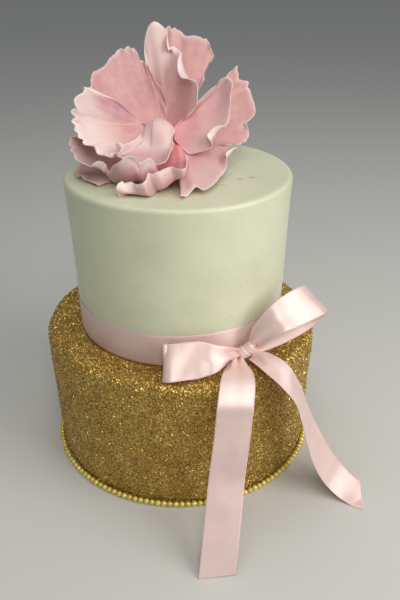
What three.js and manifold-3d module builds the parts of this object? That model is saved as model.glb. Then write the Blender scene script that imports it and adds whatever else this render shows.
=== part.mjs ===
// Two-tier birthday cake: a gold lower tier with a string of sugar pearls round its foot,
// a smooth iced upper tier, a satin ribbon with a bow, and one large sugar-paste flower.
// Millimetres, +Z up. The origin is on the cake's axis, on its flat underside; -Y is the front.
import * as THREE from 'three';
import { mergeVertices } from 'three/addons/utils/BufferGeometryUtils.js';
import Module from 'manifold-3d';

const wasm = await Module();
wasm.setup();

// ---- Driving dimensions -------------------------------------------------------------------
const gap = 0.3; // clear space between neighbouring pieces
const aroundSegments = 48;

const lowerTier = { bottomRadius: 102, topRadius: 105.5, base: 0, height: 108, edge: 6 };
const upperTier = {
  bottomRadius: 78.4,
  topRadius: 82.4,
  base: lowerTier.height + gap,
  height: 118.1,
  edge: 3,
};
const cakeTop = upperTier.base + upperTier.height;

const pearls = { count: 146, beadRadius: 2.22, neckRadius: 0.9, clearance: 0.4, sides: 4 };

const ribbon = { width: 25, thickness: 0.7 };
const band = { width: ribbon.width, thickness: ribbon.thickness, clearance: 0.4 };
const knot = { at: [46.4, -74.5, 118.4], half: [7.25, 4.2, 4.6], waist: 0.05, lean: -0.68 };
const stripSteps = 18;
const endCut = 0.15; // the share of a strip's length that its slanting end takes up

const petalThickness = 1.2;
const petalClearance = 1.2 * gap; // a little more than gap, as petals cross at a slant
const petalOverlap = 0.02; // how much further than the petal itself its clearance reaches
const petalGrid = { across: 12, along: 6 };
const cupping = 0.6; // how much less a petal is cupped at its sides than along its middle
const rootFlare = 0.7; // how much of a side's flare there is near the root
const flowerCentre = [-9, 2, cakeTop];
const stub = { at: [-10, 5], footRadius: 18, middleRadius: 11, topRadius: 5, height: 27 };

const colours = {
  gold: 0x9a7426,
  icing: 0xdfe2c8,
  pearl: 0xc9bc5a,
  satin: 0xe9c8c4,
  petal: 0xe0aca8,
};

// ---- Small helpers ------------------------------------------------------------------------
const vec = (p) => new THREE.Vector3(p[0], p[1], p[2]);
const clamp01 = (x) => Math.min(1, Math.max(0, x));

// Smooth curve through evenly spaced values, with u from 0 to 1.
function through(values, u) {
  const last = values.length - 1;
  const x = u * last;
  const i = Math.min(last - 1, Math.max(0, Math.floor(x)));
  const f = x - i;
  const b = values[i];
  const c = values[i + 1];
  const a = i > 0 ? values[i - 1] : 2 * b - c;
  const d = i + 2 <= last ? values[i + 2] : 2 * c - b;
  return b + 0.5 * f * (c - a + f * (2 * a - 5 * b + 4 * c - d + f * (3 * (b - c) + d - a)));
}

function material(colour, roughness, metalness = 0) {
  return new THREE.MeshStandardMaterial({ color: colour, roughness, metalness });
}

function bufferFrom(points, triangles) {
  const geometry = new THREE.BufferGeometry();
  geometry.setAttribute('position', new THREE.Float32BufferAttribute(points.flat(), 3));
  geometry.setIndex(triangles);
  return geometry;
}

// Turns a profile of [radius, z] pairs about the Z axis.
function turned(profile, segments = aroundSegments) {
  const points = profile.map(([radius, z]) => new THREE.Vector2(radius, z));
  return new THREE.LatheGeometry(points, segments).rotateX(Math.PI / 2);
}

// ---- Joining and cutting ------------------------------------------------------------------
function toSolid(geometry) {
  const bare = geometry.clone();
  bare.deleteAttribute('normal');
  bare.deleteAttribute('uv');
  const merged = mergeVertices(bare, 1e-4);
  return new wasm.Manifold(new wasm.Mesh({
    numProp: 3,
    vertProperties: new Float32Array(merged.attributes.position.array),
    triVerts: new Uint32Array(merged.index.array),
  }));
}

function toGeometry(solid) {
  const mesh = solid.getMesh();
  const geometry = new THREE.BufferGeometry();
  geometry.setAttribute('position', new THREE.BufferAttribute(mesh.vertProperties, 3));
  geometry.setIndex(new THREE.BufferAttribute(mesh.triVerts, 1));
  return geometry;
}

// A cut can leave loose slivers, so only the largest body is kept.
function largestBody(solid) {
  return solid.decompose().reduce((best, body) => (body.volume() > best.volume() ? body : best));
}

// ---- Thin walls from a grid of points -------------------------------------------------------
// rows[i][j] is a THREE.Vector3; the wall is thickness thick, centred on the grid.
function gridNormals(rows) {
  const m = rows.length;
  const n = rows[0].length;
  return rows.map((row, i) => row.map((_, j) => {
    const along = rows[Math.min(m - 1, i + 1)][j].clone().sub(rows[Math.max(0, i - 1)][j]);
    const across = rows[i][Math.min(n - 1, j + 1)].clone().sub(rows[i][Math.max(0, j - 1)]);
    return along.cross(across).normalize();
  }));
}

function wall(rows, thickness) {
  const m = rows.length;
  const n = rows[0].length;
  const normals = gridNormals(rows);
  const points = [];
  for (const side of [0.5, -0.5]) {
    rows.forEach((row, i) => row.forEach((p, j) => {
      points.push(p.clone().addScaledVector(normals[i][j], side * thickness).toArray());
    }));
  }
  const front = (i, j) => i * n + j;
  const back = (i, j) => m * n + i * n + j;
  const triangles = [];
  const quad = (a, b, c, d) => triangles.push(a, b, c, a, c, d);
  for (let i = 0; i < m - 1; i += 1) {
    for (let j = 0; j < n - 1; j += 1) {
      quad(front(i, j), front(i + 1, j), front(i + 1, j + 1), front(i, j + 1));
      quad(back(i, j), back(i, j + 1), back(i + 1, j + 1), back(i + 1, j));
    }
  }
  for (let i = 0; i < m - 1; i += 1) {
    quad(front(i, 0), back(i, 0), back(i + 1, 0), front(i + 1, 0));
    quad(front(i + 1, n - 1), back(i + 1, n - 1), back(i, n - 1), front(i, n - 1));
  }
  for (let j = 0; j < n - 1; j += 1) {
    quad(front(0, j + 1), back(0, j + 1), back(0, j), front(0, j));
    quad(front(m - 1, j), back(m - 1, j), back(m - 1, j + 1), front(m - 1, j + 1));
  }
  return bufferFrom(points, triangles);
}

// ---- Tiers, pearls and ribbon band ----------------------------------------------------------
function tier({ bottomRadius, topRadius, base, height, edge }) {
  const top = base + height;
  const profile = [[0, base], [bottomRadius - 1, base], [bottomRadius, base + 1]];
  const arcSteps = 4;
  for (let k = 0; k <= arcSteps; k += 1) {
    const turn = (k / arcSteps) * (Math.PI / 2);
    profile.push([topRadius - edge + edge * Math.cos(turn), top - edge + edge * Math.sin(turn)]);
  }
  profile.push([0, top]);
  return turned(profile);
}

// A string of beads: the section swells at each bead and narrows to the thread between them.
function beadString({ count, beadRadius, neckRadius, clearance, sides }) {
  const ring = lowerTier.bottomRadius + beadRadius + 2 * clearance;
  const centreHeight = beadRadius + clearance;
  const stations = count * 2;
  const points = [];
  const triangles = [];
  for (let i = 0; i < stations; i += 1) {
    const turn = (i / stations) * Math.PI * 2;
    const section = i % 2 === 0 ? beadRadius : neckRadius;
    for (let j = 0; j < sides; j += 1) {
      const round = (j / sides) * Math.PI * 2;
      const radius = ring + section * Math.cos(round);
      const z = centreHeight + section * Math.sin(round);
      points.push([radius * Math.cos(turn), radius * Math.sin(turn), z]);
      const a = i * sides + j;
      const b = i * sides + ((j + 1) % sides);
      const c = ((i + 1) % stations) * sides + ((j + 1) % sides);
      const d = ((i + 1) % stations) * sides + j;
      triangles.push(a, c, b, a, d, c);
    }
  }
  return bufferFrom(points, triangles);
}

function ribbonBand() {
  const low = upperTier.base + gap;
  const slope = (upperTier.topRadius - upperTier.bottomRadius) / upperTier.height;
  const inner = (z) => upperTier.bottomRadius + slope * (z - upperTier.base) + band.clearance;
  const high = low + band.width;
  return turned([
    [inner(low), low],
    [inner(low) + band.thickness, low],
    [inner(high) + band.thickness, high],
    [inner(high), high],
    [inner(low), low],
  ]);
}

// ---- Bow ------------------------------------------------------------------------------------
// Each strip of ribbon passes through stations: where its middle is, which way its width runs,
// and how wide it is there, since it is gathered at the knot. slant is how far each corner of
// the free end is pushed along the ribbon by a slanting cut.
const strips = {
  bow_loop_left: {
    stations: [
      { at: [40.5, -75.5, 116.5], across: [0.1, 0.6, 0.8], width: 6 },
      { at: [31, -84, 121], across: [0.1, 0.6, 0.8], width: 11 },
      { at: [21.5, -90, 121.8], across: [0, 0.5, 0.87], width: 20 },
      { at: [11, -91.8, 122], across: [0, 0.45, 0.89], width: 25 },
      { at: [-0.5, -93.6, 122], across: [0, 0.55, 0.84], width: 25.5 },
      { at: [-8.5, -94.1, 121.2], across: [0, 0.6, 0.8], width: 25.5 },
      { at: [-12.5, -91.3, 119.8], across: [0, 0.6, 0.8], width: 25 },
      { at: [-7, -89.3, 118.8], across: [0, 0.62, 0.78], width: 25 },
      { at: [12, -87.4, 117.6], across: [0, 0.6, 0.8], width: 21 },
      { at: [29, -80.5, 114.8], across: [0.2, 0.4, 0.9], width: 12.5 },
      { at: [39.5, -75.5, 114.8], across: [0.2, 0.4, 0.9], width: 6 },
    ],
  },
  bow_loop_right: {
    stations: [
      { at: [48.5, -75, 121.5], across: [-0.5, 0.4, 0.8], width: 7 },
      { at: [53.5, -79, 133], across: [-0.42, 0.5, 0.76], width: 14 },
      { at: [65, -79, 144.5], across: [-0.48, 0.52, 0.7], width: 20 },
      { at: [79, -73, 150.3], across: [-0.52, 0.5, 0.68], width: 24 },
      { at: [92.5, -64, 152], across: [-0.6, 0.5, 0.6], width: 25 },
      { at: [95, -57.5, 148.5], across: [-0.64, 0.42, 0.62], width: 25 },
      { at: [88, -58.5, 140], across: [-0.62, 0.36, 0.7], width: 25 },
      { at: [74, -65, 132], across: [-0.6, 0.36, 0.72], width: 22 },
      { at: [58, -72, 123.5], across: [-0.6, 0.34, 0.74], width: 14 },
      { at: [50.5, -75, 118.5], across: [-0.6, 0.3, 0.74], width: 6.5 },
    ],
  },
  bow_tail_front: {
    slant: 2.5,
    stations: [
      { at: [39.8, -76.5, 113.8], across: [1, 0.15, 0], width: 8 },
      { at: [38.6, -85, 112.8], across: [1, 0.08, 0], width: 15 },
      { at: [38.1, -94, 113.2], across: [1, 0.04, 0], width: 20 },
      { at: [37.2, -103, 111.2], across: [1, 0, 0], width: 23.2 },
      { at: [35.6, -112, 103.7], across: [1, 0, 0], width: 24.1 },
      { at: [33.9, -118.7, 92.5], across: [1, 0, 0], width: 24.4 },
      { at: [32.1, -121.5, 72], across: [1, 0, 0], width: 24.5 },
      { at: [29, -130, 53], across: [1, 0, 0], width: 24.5 },
      { at: [26.1, -143, 35], across: [1, 0, 0], width: 24.5 },
      { at: [23.2, -156.5, 17.5], across: [1, 0, 0], width: 24.5 },
      { at: [20.4, -169, 0.7], across: [1, 0.05, 0], width: 24.5 },
    ],
  },
  bow_tail_right: {
    slant: 6,
    stations: [
      { at: [49, -76.5, 115.8], across: [0.5, 0.5, 0.6], width: 8 },
      { at: [56.5, -83.5, 116], across: [0.48, 0.78, 0.35], width: 14 },
      { at: [65, -90, 112.8], across: [0.47, 0.86, 0.15], width: 20 },
      { at: [73, -94.5, 106], across: [0.44, 0.89, -0.02], width: 23 },
      { at: [80.5, -95.5, 94], across: [0.35, 0.87, -0.25], width: 24.5 },
      { at: [86.5, -93.5, 76], across: [0.36, 0.84, -0.38], width: 24.5 },
      { at: [93, -90.5, 56], across: [0.47, 0.8, -0.36], width: 24.5 },
      { at: [101.5, -89, 35], across: [0.62, 0.75, -0.2], width: 24.5 },
      { at: [111, -90, 18], across: [0.69, 0.72, -0.03], width: 24.5 },
      { at: [121.5, -94, 7], across: [0.7, 0.71, 0.05], width: 24.5 },
      { at: [134, -101, 0.7], across: [0.72, 0.68, 0], width: 24.5 },
    ],
  },
};

function stripRows({ stations, slant = 0 }) {
  const nearStep = 0.004; // the step over which the curve's direction is taken
  const pointAt = (key, u) => new THREE.Vector3(
    ...[0, 1, 2].map((k) => through(stations.map((station) => station[key][k]), u)),
  );
  const widths = stations.map((station) => station.width);
  const rows = [];
  for (let i = 0; i <= stripSteps; i += 1) {
    const u = i / stripSteps;
    const middle = pointAt('at', u);
    const before = pointAt('at', Math.max(0, u - nearStep));
    const along = pointAt('at', Math.min(1, u + nearStep)).sub(before).normalize();
    const across = pointAt('across', u);
    across.addScaledVector(along, -across.dot(along)).normalize();
    const half = through(widths, u) / 2;
    const cut = slant * clamp01((u - 1 + endCut) / endCut);
    rows.push([-1, 0, 1].map((v) => {
      const p = middle.clone().addScaledVector(across, v * half).addScaledVector(along, v * -cut);
      p.z = Math.max(p.z, ribbon.thickness / 2 + gap);
      return p;
    }));
  }
  return rows;
}

// The knot is a rounded nugget of wrapped ribbon, leaning to the right, with a slight waist.
function knotGeometry(grow) {
  const { at, half, waist, lean } = knot;
  const geometry = new THREE.SphereGeometry(1, 16, 8);
  const place = geometry.attributes.position;
  for (let i = 0; i < place.count; i += 1) {
    const p = new THREE.Vector3().fromBufferAttribute(place, i);
    const widening = 1 + waist * p.y * p.y;
    p.set(p.x * (half[0] + grow) * widening, -p.z * (half[1] + grow), p.y * (half[2] + grow));
    p.applyAxisAngle(new THREE.Vector3(0, 1, 0), lean);
    place.setXYZ(i, p.x + at[0], p.y + at[1], p.z + at[2]);
  }
  return geometry;
}

// ---- Flower -----------------------------------------------------------------------------------
// Petal points are measured from flowerCentre. claw is a petal's narrow root, clawHalf wide to each
// side, and rim holds points of its rim from left to right, seen from its inside face. low and
// high push the surface outwards near the root and near the rim, which cups the petal, and sag
// does so along directions of its own. flare rounds the left and the right side. edge folds the
// sides in: from which share of the half width on, and how far, for the left and the right. Each of
// hills is a swelling: where along the rim, how far out, how far both ways, and how high.
const petals = {
  petal_back_left: {
    claw: [-5, 7, 29], clawHalf: 6, low: 5, high: 5, flare: [7, 3],
    rim: [
      [-48, -1, 52], [-51, 7, 59], [-46, 16, 66], [-38, 24, 72], [-34, 29, 77],
      [-27, 33, 81], [-21, 35, 76], [-18, 35, 69], [-11, 32, 66], [-7, 27, 57],
      [0, 19, 46],
    ],
  },
  petal_back_middle: {
    claw: [2, 13, 27], clawHalf: 6, low: 4, high: 4, flare: [1, 3],
    rim: [
      [-11, 28, 49], [-14, 38, 70], [-13, 44, 85], [-7, 46, 94], [1, 47, 89],
      [4, 45, 83], [10, 39, 76], [17, 28, 70], [23, 13, 60], [23, 1, 46],
    ],
  },
  petal_back_tall: {
    claw: [4, 16, 26], clawHalf: 6, low: 4, high: 4, flare: [2, 3],
    rim: [
      [-7, 56, 67], [-1, 59, 83], [6, 61, 89], [14, 61, 84], [21, 60, 83],
      [30, 59, 81], [35, 55, 72], [30, 50, 62], [29, 43, 54], [20, 33, 43],
    ],
  },
  petal_right_outer: {
    claw: [12, 8, 20], clawHalf: 4, low: 4, high: 5, flare: [2, 2],
    rim: [
      [40, 30, 52], [52, 38, 64], [55, 39, 55], [61, 38, 53], [63, 37, 46],
      [66, 34, 32], [62, 31, 25], [62, 27, 15], [54, 20, 12], [35, 10, 14],
    ],
  },
  petal_right_inner: {
    claw: [6, 0, 26], clawHalf: 4, low: 4, high: 8, flare: [3, 3],
    rim: [
      [22, 10, 42], [34, 18, 52], [47, 18, 61], [47, 9, 49], [45, 0, 38],
      [41, -8, 29], [33, -13, 19], [20, -14, 15],
    ],
  },
  petal_front_right: {
    claw: [10, 1, 14], clawHalf: 4, low: -3, high: -3, flare: [2, 3],
    rim: [
      [35, 13, 12], [52, 9, 10], [46, -6, 4], [36, -36, 3], [26, -56, 3],
      [20, -55, 5], [14, -61, 3], [10, -66, 2], [10, -52, 4], [12, -34, 7],
    ],
  },
  petal_front_bowl: {
    claw: [5, -2, 19], clawHalf: 4, low: 0, high: 0, flare: [5, 3],
    sag: [[0, -9, -12], [1, -32, -24]],
    rim: [
      [16, -28, 19], [13, -53, 17], [4, -50, 17], [-4, -56, 15], [-11, -55, 14],
      [-14, -61, 10], [-23, -59, 8], [-31, -61, 7], [-30, -59, 1],
    ],
  },
  petal_left_under: {
    claw: [-9, -6, 10], clawHalf: 3, low: 2, high: 2, flare: [2, 2],
    rim: [
      [-25, -38, 2], [-37, -32, 2], [-46, -37, 1], [-56, -26, 1], [-63, -15, 2],
      [-64, -3, 4], [-60, 10, 6],
    ],
  },
  petal_left_cup: {
    claw: [-10, -3, 14], clawHalf: 3, low: 6, high: 10, flare: [4, 4],
    rim: [
      [-35, -35, 8], [-44, -41, 12], [-50, -38, 14], [-58, -36, 17], [-63, -25, 22],
      [-65, -14, 27], [-55, -18, 31],
    ],
  },
  petal_front_lip: {
    claw: [-7, -7, 12], clawHalf: 4, low: 0, high: 0, flare: [4, 3],
    sag: [[0, -8, -12], [-2, -24, -23]],
    rim: [
      [-7, -42, 13], [-8, -43, 18], [-11, -46, 22], [-15, -48, 20], [-18, -48, 22],
      [-22, -48, 26], [-26, -48, 24], [-30, -47, 20], [-35, -44, 15], [-39, -40, 9],
    ],
  },
  petal_centre: {
    claw: [-4, 6, 26], clawHalf: 10, low: 0, high: 0, flare: [1, -13],
    sag: [[1, -2, 23], [2, 2, -6]], hills: [[0.42, 0.36, 0.5, 0.3, 7]],
    rim: [
      [4, -32, 25], [2, -38, 20], [-3, -42, 17], [-10, -41, 16], [-18, -39, 17],
      [-27, -40, 19], [-33, -41, 21], [-36, -37, 27],
    ],
  },
  petal_left_large: {
    claw: [-14, -12, 33], clawHalf: 6, low: 6, high: 10, flare: [4, 4],
    edge: [0, 0, 0.35, 14],
    rim: [
      [-30, -38, 24], [-38, -41, 22], [-44, -40, 23], [-48, -39, 26], [-53, -36, 32],
      [-57, -33, 39], [-59, -30, 47], [-59, -27, 53], [-57, -21, 56], [-52, -14, 50],
    ],
  },
};

const away = (x, middle, half) => ((x - middle) / half) ** 2;

// How far a petal's folds and swellings lift its surface: u runs along the rim, s out from the claw.
function petalPush(petal, u, s) {
  const t = 2 * u - 1;
  const [leftStart, leftFold, rightStart, rightFold] = petal.edge ?? [0, 0, 0, 0];
  const fold = leftFold * clamp01((-t - leftStart) / (1 - leftStart)) ** 2
    + rightFold * clamp01((t - rightStart) / (1 - rightStart)) ** 2;
  const swelling = (petal.hills ?? []).reduce(
    (sum, [place, out, halfAcross, halfAlong, height]) => (
      sum + height * clamp01(1 - away(u, place, halfAcross) - away(s, out, halfAlong)) ** 2),
    0,
  );
  return fold * s ** 0.7 + swelling;
}

// The middle surface of a petal; overlap makes it a little longer and wider.
function petalRows(petal, overlap = 0) {
  const claw = vec(petal.claw);
  const left = vec(petal.rim[0]);
  const right = vec(petal.rim[petal.rim.length - 1]);
  const inside = right.clone().sub(claw).cross(left.clone().sub(claw)).normalize();
  const side = right.clone().sub(left).normalize();
  const [sagLow, sagHigh] = petal.sag ?? [[0, 0, 0], [0, 0, 0]];
  const rows = [];
  for (let i = 0; i < petalGrid.across; i += 1) {
    const t = ((i / (petalGrid.across - 1)) * 2 - 1) * (1 + overlap);
    const rim = new THREE.Vector3(
      ...[0, 1, 2].map((k) => through(petal.rim.map((point) => point[k]), (t + 1) / 2)),
    );
    const root = claw.clone().addScaledVector(side, t * petal.clawHalf);
    const chord = rim.clone().sub(root);
    const hollow = 1 - cupping * t * t;
    const flare = t * petal.flare[t < 0 ? 0 : 1];
    const first = root.clone().addScaledVector(chord, 1 / 3)
      .addScaledVector(inside, -petal.low * hollow).addScaledVector(side, rootFlare * flare)
      .addScaledVector(vec(sagLow), hollow);
    const second = root.clone().addScaledVector(chord, 2 / 3)
      .addScaledVector(inside, -petal.high * hollow).addScaledVector(side, flare)
      .addScaledVector(vec(sagHigh), hollow);
    const row = [];
    for (let j = 0; j < petalGrid.along; j += 1) {
      const s = (j / (petalGrid.along - 1)) * (1 + overlap);
      row.push(root.clone().multiplyScalar((1 - s) ** 3)
        .addScaledVector(first, 3 * s * (1 - s) ** 2)
        .addScaledVector(second, 3 * s * s * (1 - s))
        .addScaledVector(rim, s ** 3));
    }
    rows.push(row);
  }
  const normals = gridNormals(rows);
  const facing = normals.flat().reduce((sum, n) => sum + n.dot(inside), 0) > 0 ? 1 : -1;
  rows.forEach((row, i) => row.forEach((p, j) => {
    const t = ((i / (petalGrid.across - 1)) * 2 - 1) * (1 + overlap);
    const push = petalPush(petal, (t + 1) / 2, (j / (petalGrid.along - 1)) * (1 + overlap));
    p.addScaledVector(normals[i][j], facing * push);
    p.z = Math.max(p.z, petalThickness / 2 + gap);
    p.add(vec(flowerCentre));
  }));
  return rows;
}

// The mound of paste that the petals' roots are stuck to, hidden in the flower.
function stubGeometry(grow) {
  const { at, footRadius, middleRadius, topRadius, height } = stub;
  const foot = cakeTop + gap;
  const top = foot + height + grow;
  const geometry = turned([
    [0, foot],
    [footRadius + grow, foot],
    [middleRadius + grow, foot + 0.6 * height],
    [topRadius + grow, top],
    [0, top],
  ], 16);
  return geometry.translate(at[0], at[1], 0);
}

// ---- Assembly -----------------------------------------------------------------------------------
const cake = new THREE.Group();

function place(name, geometry, look) {
  const mesh = new THREE.Mesh(geometry, look);
  mesh.name = name;
  cake.add(mesh);
}

place('lower_tier', tier(lowerTier), material(colours.gold, 0.55, 0.3));
place('upper_tier', tier(upperTier), material(colours.icing, 0.45));
place('pearl_border', beadString(pearls), material(colours.pearl, 0.25, 0.4));
place('ribbon_band', ribbonBand(), material(colours.satin, 0.35));

place('bow_knot', knotGeometry(0), material(colours.satin, 0.35));
let taken = toSolid(knotGeometry(gap));
for (const [name, strip] of Object.entries(strips)) {
  const rows = stripRows(strip);
  const body = largestBody(toSolid(wall(rows, ribbon.thickness)).subtract(taken));
  place(name, toGeometry(body), material(colours.satin, 0.35));
  taken = taken.add(toSolid(wall(rows, ribbon.thickness + 2 * gap)));
}

place('flower_stub', stubGeometry(0), material(colours.petal, 0.7));
taken = toSolid(stubGeometry(gap));
for (const [name, petal] of Object.entries(petals)) {
  const body = largestBody(toSolid(wall(petalRows(petal), petalThickness)).subtract(taken));
  place(name, toGeometry(body), material(colours.petal, 0.6));
  taken = taken.add(toSolid(wall(petalRows(petal, petalOverlap), petalThickness + 2 * petalClearance)));
}

export default cake;
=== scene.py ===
import math
import bpy
import numpy as np
from mathutils import Matrix, Vector


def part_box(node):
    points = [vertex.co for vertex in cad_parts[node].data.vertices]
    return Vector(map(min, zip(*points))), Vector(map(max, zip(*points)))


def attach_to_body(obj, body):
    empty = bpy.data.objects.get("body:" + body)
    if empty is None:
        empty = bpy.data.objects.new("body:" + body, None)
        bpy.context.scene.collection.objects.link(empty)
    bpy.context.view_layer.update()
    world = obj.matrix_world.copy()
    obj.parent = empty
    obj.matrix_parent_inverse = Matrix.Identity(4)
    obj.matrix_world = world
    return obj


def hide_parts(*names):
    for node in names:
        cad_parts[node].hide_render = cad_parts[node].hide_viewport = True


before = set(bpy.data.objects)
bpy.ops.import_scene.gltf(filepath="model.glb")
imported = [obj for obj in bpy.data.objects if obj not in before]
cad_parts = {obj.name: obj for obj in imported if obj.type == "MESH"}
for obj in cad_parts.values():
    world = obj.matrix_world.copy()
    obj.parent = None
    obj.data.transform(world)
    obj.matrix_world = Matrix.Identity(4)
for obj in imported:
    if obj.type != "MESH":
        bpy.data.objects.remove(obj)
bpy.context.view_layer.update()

# A two-tier birthday cake. Metres, +Z up, -Y is the front; every piece sits where its solid sits.
mm = 0.001
surfaceMap = "surface"  # the name of every UV map
rimBulge = 0.8  # how far a thin shell's rim stands out, as a share of half its thickness


# Helpers for curves and surfaces
def unit(v):
    return v / np.maximum(np.linalg.norm(v, axis=-1, keepdims=True), 1e-12)


def ramp(x, low, high):  # 0 up to low, 1 from high, smooth between
    x = np.clip((x - low) / (high - low), 0, 1)
    return x * x * (3 - 2 * x)


def curveThrough(values, u):  # smooth curve through evenly spaced values, u from 0 to 1
    v = np.asarray(values, float)
    last = len(v) - 1
    x = np.clip(np.asarray(u, float), 0, 1) * last
    i = np.clip(np.floor(x).astype(int), 0, last - 1)
    f = x - i
    if v.ndim > 1:
        f = f[..., None]
    v = np.concatenate([[2 * v[0] - v[1]], v, [2 * v[-1] - v[-2]]])
    a, b, c, d = v[i], v[i + 1], v[i + 2], v[i + 3]
    return b + 0.5 * f * (c - a + f * (2 * a - 5 * b + 4 * c - d + f * (3 * (b - c) + d - a)))


def wander(x, seed, waves=5, lowest=1.0, highest=4.0):  # smooth random curve of about -1 to 1
    dice = np.random.default_rng(seed)
    total = 0
    for _ in range(waves):
        total = total + np.sin(2 * math.pi * (dice.uniform(lowest, highest) * x + dice.random()))
    return total / math.sqrt(waves)


def gridOf(*coordinates):  # one grid from coordinates that may each be a column, a row or a grid
    return np.stack(np.broadcast_arrays(*coordinates), -1)


def onceRound(count):  # evenly spaced angles, as a row
    return np.linspace(0, 2 * math.pi, count, endpoint=False)[None, :]


def gridNormals(grid, closed=False):
    if closed:
        alongStep = np.roll(grid, -1, 0) - np.roll(grid, 1, 0)
    else:
        alongStep = np.gradient(grid, axis=0)
    return unit(np.cross(alongStep, np.gradient(grid, axis=1)))


def addObject(name, data):
    obj = bpy.data.objects.new(name, data)
    bpy.context.scene.collection.objects.link(obj)
    return obj


def makeMesh(name, points, faces, look, smooth=True, uv=None, attributes=None):
    mesh = bpy.data.meshes.new(name)
    faces = np.asarray(faces)
    sides = faces.shape[1]
    mesh.vertices.add(len(points))
    mesh.vertices.foreach_set("co", np.asarray(points, np.float32).ravel())
    mesh.loops.add(faces.size)
    mesh.loops.foreach_set("vertex_index", faces.ravel().astype(np.int32))
    mesh.polygons.add(len(faces))
    mesh.polygons.foreach_set("loop_start", np.arange(0, faces.size, sides, dtype=np.int32))
    mesh.polygons.foreach_set("use_smooth", np.full(len(faces), smooth))
    if uv is not None:
        layer = mesh.uv_layers.new(name=surfaceMap)
        layer.data.foreach_set("uv", np.asarray(uv, np.float32).ravel())
    for key, values in (attributes or {}).items():
        mesh.attributes.new(key, "FLOAT", "POINT").data.foreach_set("value", values.astype(np.float32))
    mesh.update(calc_edges=True)
    mesh.validate()
    mesh.materials.append(look)
    return addObject(name, mesh)


# A thin closed shell round a grid of points, with a rounded rim. thickness is one value or a grid,
# uv has one row more than the grid where the grid is a closed ring.
def makeShell(name, grid, thickness, uv, look, closed=False, attributes=None):
    m, n, _ = grid.shape
    half = np.broadcast_to(np.asarray(thickness) / 2, (m, n))[..., None]
    normal = gridNormals(grid, closed)
    number = np.arange(m * n).reshape(m, n)
    rows = m if closed else m - 1
    i, j = (a.ravel() for a in np.meshgrid(np.arange(rows), np.arange(n - 1), indexing="ij"))
    corners = [(i, j), (i + 1, j), (i + 1, j + 1), (i, j + 1)]
    front = np.stack([number[a % m, b] for a, b in corners], 1)
    frontUv = np.stack([uv[a, b] for a, b in corners], 1)
    back = front[:, ::-1] + m * n
    backUv = frontUv[:, ::-1]
    if closed:
        edges = [[(k, 0) for k in range(m + 1)], [(k, n - 1) for k in range(m, -1, -1)]]
    else:
        edges = [[(k, 0) for k in range(m - 1)] + [(m - 1, k) for k in range(n - 1)]
                 + [(k, n - 1) for k in range(m - 1, 0, -1)] + [(0, k) for k in range(n - 1, -1, -1)]]
    rimPoints, rimFaces, rimUv, rimFrom = [], [], [], []
    for path in edges:
        spots = path[:-1]
        first = 2 * m * n + len(rimPoints)
        for a, b in spots:
            inner = (a % m if closed else min(max(a, 1), m - 2), min(max(b, 1), n - 2))
            out = unit(grid[a % m, b] - grid[inner])
            rimPoints.append(grid[a % m, b] + out * half[a % m, b] * rimBulge)
            rimFrom.append(number[a % m, b])
        for k, (p, q) in enumerate(zip(path[:-1], path[1:])):
            a, b = number[p[0] % m, p[1]], number[q[0] % m, q[1]]
            c, d = first + k, first + (k + 1) % len(spots)
            rimFaces += [(a, c, d, b), (c, a + m * n, b + m * n, d)]
            rimUv += [[uv[p], uv[p], uv[q], uv[q]]] * 2
    points = np.concatenate([(grid + normal * half).reshape(-1, 3),
                             (grid - normal * half).reshape(-1, 3), np.array(rimPoints)])
    values = {}
    for key, grade in (attributes or {}).items():
        flat = np.broadcast_to(grade, (m, n)).ravel()
        values[key] = np.concatenate([flat, flat, flat[rimFrom]])
    return makeMesh(name, points, np.concatenate([front, back, rimFaces]), look,
                    uv=np.concatenate([frontUv, backUv, np.array(rimUv)]), attributes=values)


# Helpers for nodes and materials
def newNode(tree, kind, inputs=None, **settings):
    made = tree.nodes.new(kind)
    for key, value in settings.items():
        setattr(made, key, value)
    for key, value in (inputs or {}).items():
        if isinstance(value, bpy.types.NodeSocket):
            tree.links.new(value, made.inputs[key])
        else:
            made.inputs[key].default_value = value
    return made


def newLook(name, **shader):
    look = bpy.data.materials.new(name)
    look.use_nodes = True
    for key, value in shader.items():
        look.node_tree.nodes["Principled BSDF"].inputs[key.replace("_", " ")].default_value = value
    return look


def addNode(look, kind, inputs=None, **settings):
    return newNode(look.node_tree, "ShaderNode" + kind, inputs, **settings)


def calculate(look, operation, a, b=0.0):
    return addNode(look, "Math", {0: a, 1: b}, operation=operation).outputs[0]


def spread(look, value, low, high, newLow=0.0, newHigh=1.0):
    inputs = {"Value": value, "From Min": low, "From Max": high, "To Min": newLow, "To Max": newHigh}
    return addNode(look, "MapRange", inputs).outputs["Result"]


def blendColour(look, factor, a, b):
    return addNode(look, "Mix", {0: factor, 6: a, 7: b}, data_type="RGBA").outputs[2]


def dab(look, base, noise, low, high, most, tint):  # blends a tint into a colour where noise is high
    return blendColour(look, spread(look, noise, low, high, 0.0, most), base, tint)


def grain(look, where, scale, detail=3.0, roughness=0.5):
    inputs = {"Vector": where, "Scale": scale, "Detail": detail, "Roughness": roughness}
    return addNode(look, "TexNoise", inputs).outputs["Fac"]


def attach(look, socket, value):
    look.node_tree.links.new(value, look.node_tree.nodes["Principled BSDF"].inputs[socket])


def addBump(look, height, distance, strength=1.0, under=None):
    inputs = {"Height": height, "Distance": distance, "Strength": strength}
    if under is not None:
        inputs["Normal"] = under
    return addNode(look, "Bump", inputs).outputs["Normal"]


def objectPlace(look):
    return addNode(look, "TexCoord").outputs["Object"]


def ownValue(look, name):  # a value that the mesh carries at each point
    return addNode(look, "Attribute", attribute_name=name).outputs["Fac"]


def stretched(look, where, scale):
    return addNode(look, "Mapping", {"Vector": where, "Scale": scale}).outputs["Vector"]


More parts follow.
